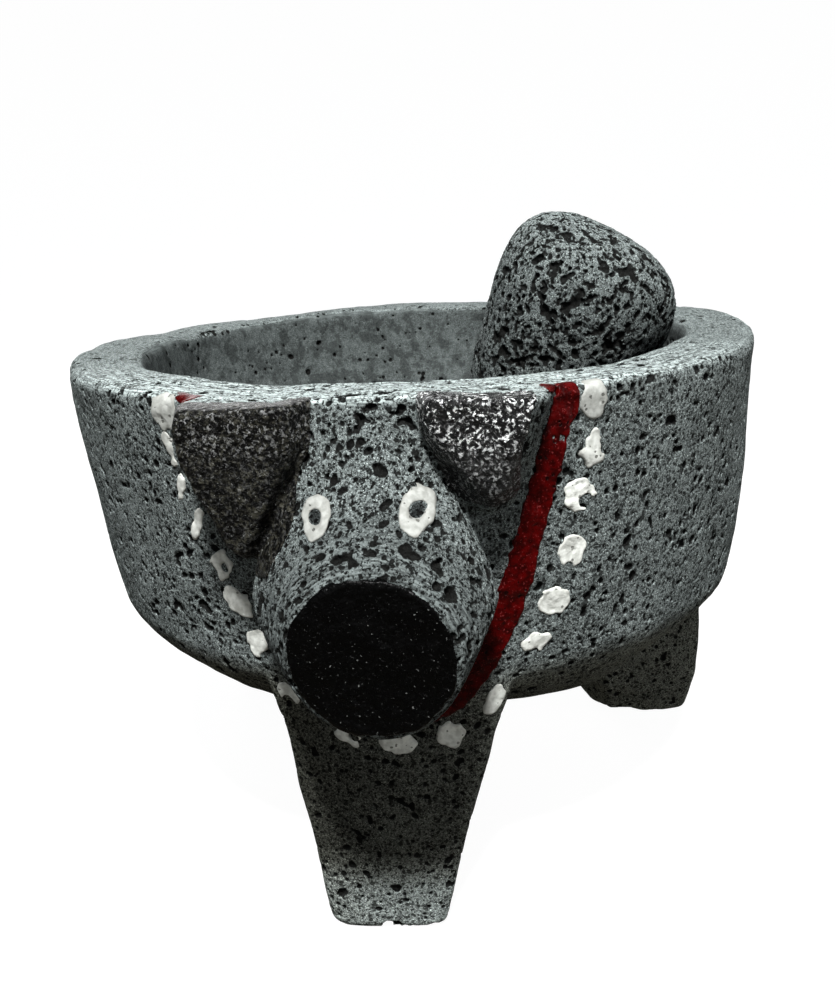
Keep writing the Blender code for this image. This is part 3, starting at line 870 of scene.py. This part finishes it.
def outline_distance(points, outline):
    """Distance from a convex outline in (x, z), below zero inside."""
    flat = points[:, [0, 2]]
    nearest = np.full(len(points), np.inf)
    inner = np.full(len(points), -np.inf)
    for a, b in zip(outline, np.roll(outline, -1, 0)):
        along = b - a
        length = np.hypot(*along)
        if length < 1e-6:
            continue
        share = np.clip((flat - a) @ along / length**2, 0, 1)
        nearest = np.minimum(nearest, np.hypot(*(flat - a - share[:, None] * along).T))
        inner = np.maximum(inner, (flat - a) @ np.array([along[1], -along[0]]) / length)
    return np.where(inner < 0, inner, nearest)


def ear_region(side, outward):
    """The flat face and the flanks that face the brow and the cheek."""
    node = "ear_paint_" + side
    outline = hull_of(node)
    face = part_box(node)[1][1] * 1000
    brow = 1 if side == "left" else -1
    middle = outline.mean(0)

    def region(points):
        away = outline_distance(points, outline)
        towards = np.clip(brow * (points[:, 0] - middle[0]) / 12, 0, 1)
        tip = ease(points[:, 2], middle[1] + 2, middle[1] - 12)
        reach = outward + (EAR_BROW_REACH - outward) * towards + EAR_TIP_REACH * tip
        return np.maximum(away - reach, points[:, 1] - face - EAR_BACK)

    return region


def snout_region():
    """The snout's round end and a little of its side."""
    low, high = box_mm("snout_paint")
    centre = (low + high) / 2
    radius = (high[0] - low[0]) / 2
    swell = uneven(5, 13, 0.35, 0.5)

    def region(points):
        x, z = points[:, 0] - centre[0], points[:, 2] - centre[2]
        limit = radius + 0.1 + swell(np.arctan2(z, x))
        return np.maximum(np.hypot(x, z) - limit, points[:, 1] - high[1] - 2.2)

    return region


def eye_region(side, tilt, half_width, half_height, seed):
    """A ring round the bare pupil."""
    ring = front_blob("eye_paint_" + side, half_width, half_height, seed, tilt)
    low, high = box_mm("eye_paint_" + side)
    centre = (low + high) / 2

    def region(points):
        away = points - centre
        pupil = PUPIL_RADIUS - np.hypot(away[:, 0], away[:, 2] * 1.15)
        return np.maximum(ring(points), pupil)

    return region


def front_blob(node, half_width, half_height, seed, tilt):
    """An uneven oval, as seen from the front."""
    low, high = box_mm(node)
    centre = (low + high) / 2
    swell = uneven(seed, 6, 0.03, 1)
    c, s = math.cos(math.radians(tilt)), math.sin(math.radians(tilt))

    def region(points):
        x, z = points[:, 0] - centre[0], points[:, 2] - centre[2]
        x, z = (c * x + s * z) / half_width, (c * z - s * x) / half_height
        limit = 1 + swell(np.arctan2(z, x))
        return (np.hypot(x, z) - limit) * half_width

    return region


def band_region():
    """Near the CAD band, which is drawn out to the rim at its top and splashed beside it."""
    near = distance_field("neck_band", 0.4, 4.0)

    def region(points):
        arc, drop, radius = wall_place(points)
        edge = near.at(points) - 0.75 - 0.6 * ease(drop, 34, 48)
        for middle, level, half_width, half_drop in BAND_SPLASHES:
            oval = (np.hypot((arc - middle) / half_width, (drop - level) / half_drop) - 1) * half_drop
            edge = np.minimum(edge, np.maximum(oval, RIM_EDGE - radius))
        return np.where((arc < BAND_LEFT_END) & (drop > BAND_LEFT_TOP), 1.0, edge)

    return region


def wall_place(points):
    """Distance round the wall from the front, drop below the rim and distance from the axis."""
    radius, drop = round_axis(points)
    angle = np.arctan2(points[:, 0] - AXIS[0], AXIS[1] - points[:, 1])
    return angle * MORTAR_HIGH[0], drop, radius


# ---------------------------------------------------------------- build

RIM_STREAKS = ((*AXIS, 0), 2, 0.55, 7.0)
SNOUT_STREAKS = (tuple(SNOUT), 1, 0.6, 26.0)


def build_stone():
    fields = mortar_fields()
    material = basalt("carved basalt", (("rim", RIM_STREAKS), ("marks", SNOUT_STREAKS)))
    stone_piece("carved_block", "mortar", *fields, material, mortar_looks)
    material = basalt("tejolote basalt")
    stone = stone_piece("grinding_stone", "tejolote", *tejolote_fields(), material, tejolote_looks)
    return fields


def build_paint():
    white, red = white_paint("white paint"), red_paint("red paint")

    def white_coat(name, node, seed, region, light, ragged):
        coat(name, node, 3, seed, region, white, 0.27, 0.6, ragged, light)

    gloss = black_paint(
        "snout black",
        dull=(0.0008, 0.0008, 0.0008, 1),
        worn=(0.0012, 0.0012, 0.0012, 1),
        rough=(0.2, 0.4),
        relief=0.15,
        flecks=-0.17,
        shine=0.0,
        specular=0.08,
    )
    rough_gloss = black_paint(
        "right ear black",
        dull=(0.001, 0.001, 0.001, 1),
        worn=(0.008, 0.008, 0.008, 1),
        rough=(0.12, 0.3),
        relief=0.7,
        flecks=0.02,
        shine=1.0,
        specular=0.3,
    )
    scratched = black_paint(
        "left ear black",
        dull=(0.0012, 0.0012, 0.001, 1),
        worn=(0.034, 0.033, 0.025, 1),
        rough=(0.25, 0.5),
        relief=0.6,
        flecks=-0.05,
        shine=0.18,
        specular=0.12,
    )
    coat("snout_black", "snout_paint", 3, 31, snout_region(), gloss, 0.28, 0.8)
    ears = (("left", 2.2, 32, scratched), ("right", 0.6, 33, rough_gloss))
    for side, outward, seed, material in ears:
        node = "ear_paint_" + side
        region = ear_region(side, outward)
        coat(side + "_ear_black", node, (7, 11, 7), seed, region, material, 0.22, 1.0)
    eyes = (("left", -16, 3.2, 4.1, 34), ("right", 10, 3.4, 4.0, 35))
    for side, tilt, half_width, half_height, seed in eyes:
        region = eye_region(side, tilt, half_width, half_height, seed)
        white_coat(side + "_eye_white", "eye_paint_" + side, seed, region, EYE_LIGHT, 0.12)
    coat("neck_red", "neck_band", (3, 3, 5), 36, band_region(), red, 0.3, 1.1, 0.2)
    for number, (half_width, half_height, tilt, bites) in enumerate(DABS, start=1):
        node = "neck_dab_%02d" % number
        outline = blob(node, half_width, half_height, 100 + number, tilt, bites)
        low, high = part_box(node)
        # Lower dabs lighter: painted light on the dabs that lie in shade.
        depth = ease(RIM - 500 * (low[2] + high[2]), *DAB_DROPS)
        light = DAB_LIGHTS[0] + (DAB_LIGHTS[1] - DAB_LIGHTS[0]) * depth
        white_coat("neck_white_%02d" % number, node, 200 + number, outline, light, 0.24)


mortar, mortar_base = build_stone()
build_paint()


# ---------------------------------------------------------------- the studio

# The world's colour from below, level and from above.
TABLE_GLOW = (0.20, 0.18, 0.14, 1)
ROOM_LEVEL = (0.020, 0.022, 0.024, 1)
ROOM_TOP = (0.20, 0.215, 0.23, 1)

# Lights: name, place, aim, size and power.
LIGHTS = (
    ("key", (0.05, -0.54, 1.05), (0, -0.04, 0.08), 0.16, 28.5),
    ("side fill", (0.90, -0.25, 0.25), (0, 0, 0.08), 0.5, 1.7),
    ("front fill", (-0.15, -1.0, 0.40), (0, 0, 0.08), 0.7, 1.1),
    ("back fill", (-0.50, 0.95, 0.45), (0, 0, 0.08), 0.7, 3.5),
)


def studio_floor():
    """A round floor that curves up into a backdrop, pale and without glare on the stone."""
    radius, height, sweep, sides, rows = 3.0, 3.0, 1.2, 96, 12
    profile = []
    for i in range(rows + 1):
        turn = math.radians(90 * i / rows)
        profile.append((radius - sweep + sweep * math.sin(turn), sweep * (1 - math.cos(turn))))
    profile.append((radius, height))
    turns = [2 * math.pi * i / sides for i in range(sides)]
    points = [(r * math.cos(turn), r * math.sin(turn), z) for r, z in profile for turn in turns]
    faces = [tuple(range(sides))]
    for row in range(len(profile) - 1):
        for i in range(sides):
            a, b = row * sides + i, row * sides + (i + 1) % sides
            faces.append((a, a + sides, b + sides, b))
    mesh = bpy.data.meshes.new("floor")
    mesh.from_pydata(points, [], faces)
    mesh.shade_smooth()
    floor = bpy.data.objects.new("floor", mesh)
    bpy.context.scene.collection.objects.link(floor)
    s = Shader("pale floor")
    s.set(s.principled, "Emission Color", (1, 1, 1, 1))
    s.set(s.principled, "Emission Strength", 0.96)
    mesh.materials.append(s.finish((0.12, 0.12, 0.12, 1), 1.0))
    floor.visible_diffuse = False
    floor.visible_glossy = False


def area_light(name, place, target, size, power):
    data = bpy.data.lights.new(name, "AREA")
    data.shape = "DISK"
    data.size = size
    data.energy = power
    lamp = bpy.data.objects.new(name, data)
    lamp.location = place
    lamp.rotation_mode = "QUATERNION"
    lamp.rotation_quaternion = (Vector(target) - Vector(place)).to_track_quat("-Z", "Y")
    bpy.context.scene.collection.objects.link(lamp)


def world_light():
    """A cool, faint room above, and the warm light that a table throws back from below."""
    world = bpy.data.worlds.new("studio")
    world.use_nodes = True
    tree = world.node_tree
    background = tree.nodes["Background"]
    coords = tree.nodes.new("ShaderNodeTexCoord")
    parts = tree.nodes.new("ShaderNodeSeparateXYZ")
    ramp = tree.nodes.new("ShaderNodeValToRGB")
    place = tree.nodes.new("ShaderNodeMath")
    place.operation = "MULTIPLY_ADD"
    place.inputs[1].default_value = place.inputs[2].default_value = 0.5
    tree.links.new(coords.outputs["Generated"], parts.inputs[0])
    tree.links.new(parts.outputs[2], place.inputs[0])
    tree.links.new(place.outputs[0], ramp.inputs[0])
    tree.links.new(ramp.outputs[0], background.inputs["Color"])
    stops = ramp.color_ramp.elements
    stops[0].color = TABLE_GLOW
    stops[1].color = ROOM_TOP
    stops.new(0.5).color = ROOM_LEVEL
    bpy.context.scene.world = world


def camera():
    """Looks down at the front of the bowl from a little above it, slightly turned and tilted."""
    right = Vector((math.cos(CAMERA_YAW), -math.sin(CAMERA_YAW), 0))
    forward = Vector((math.sin(CAMERA_YAW), math.cos(CAMERA_YAW), 0)) * math.cos(CAMERA_PITCH)
    forward.z = -math.sin(CAMERA_PITCH)
    up = right.cross(forward)
    across = right * math.cos(CAMERA_ROLL) + up * math.sin(CAMERA_ROLL)
    up = up * math.cos(CAMERA_ROLL) - right * math.sin(CAMERA_ROLL)
    turn = Matrix.Rotation(CAMERA_TURN, 3, "Z")
    across, up, back = turn @ across, turn @ up, -(turn @ forward)
    centre = Vector((AXIS[0], AXIS[1], RIM)) / 1000
    place = centre + turn @ Vector((CAMERA_ASIDE, -CAMERA_BACK, CAMERA_UP))
    data = bpy.data.cameras.new("camera")
    data.lens = CAMERA_LENS
    data.sensor_width = CAMERA_SENSOR
    data.clip_start = 0.01
    obj = bpy.data.objects.new("camera", data)
    obj.matrix_world = Matrix(
        (
            (across.x, up.x, back.x, place.x),
            (across.y, up.y, back.y, place.y),
            (across.z, up.z, back.z, place.z),
            (0, 0, 0, 1),
        )
    )
    bpy.context.scene.collection.objects.link(obj)
    bpy.context.scene.camera = obj


studio_floor()
for light in LIGHTS:
    area_light(*light)
world_light()
camera()
bpy.context.scene.view_settings.view_transform = "Standard"
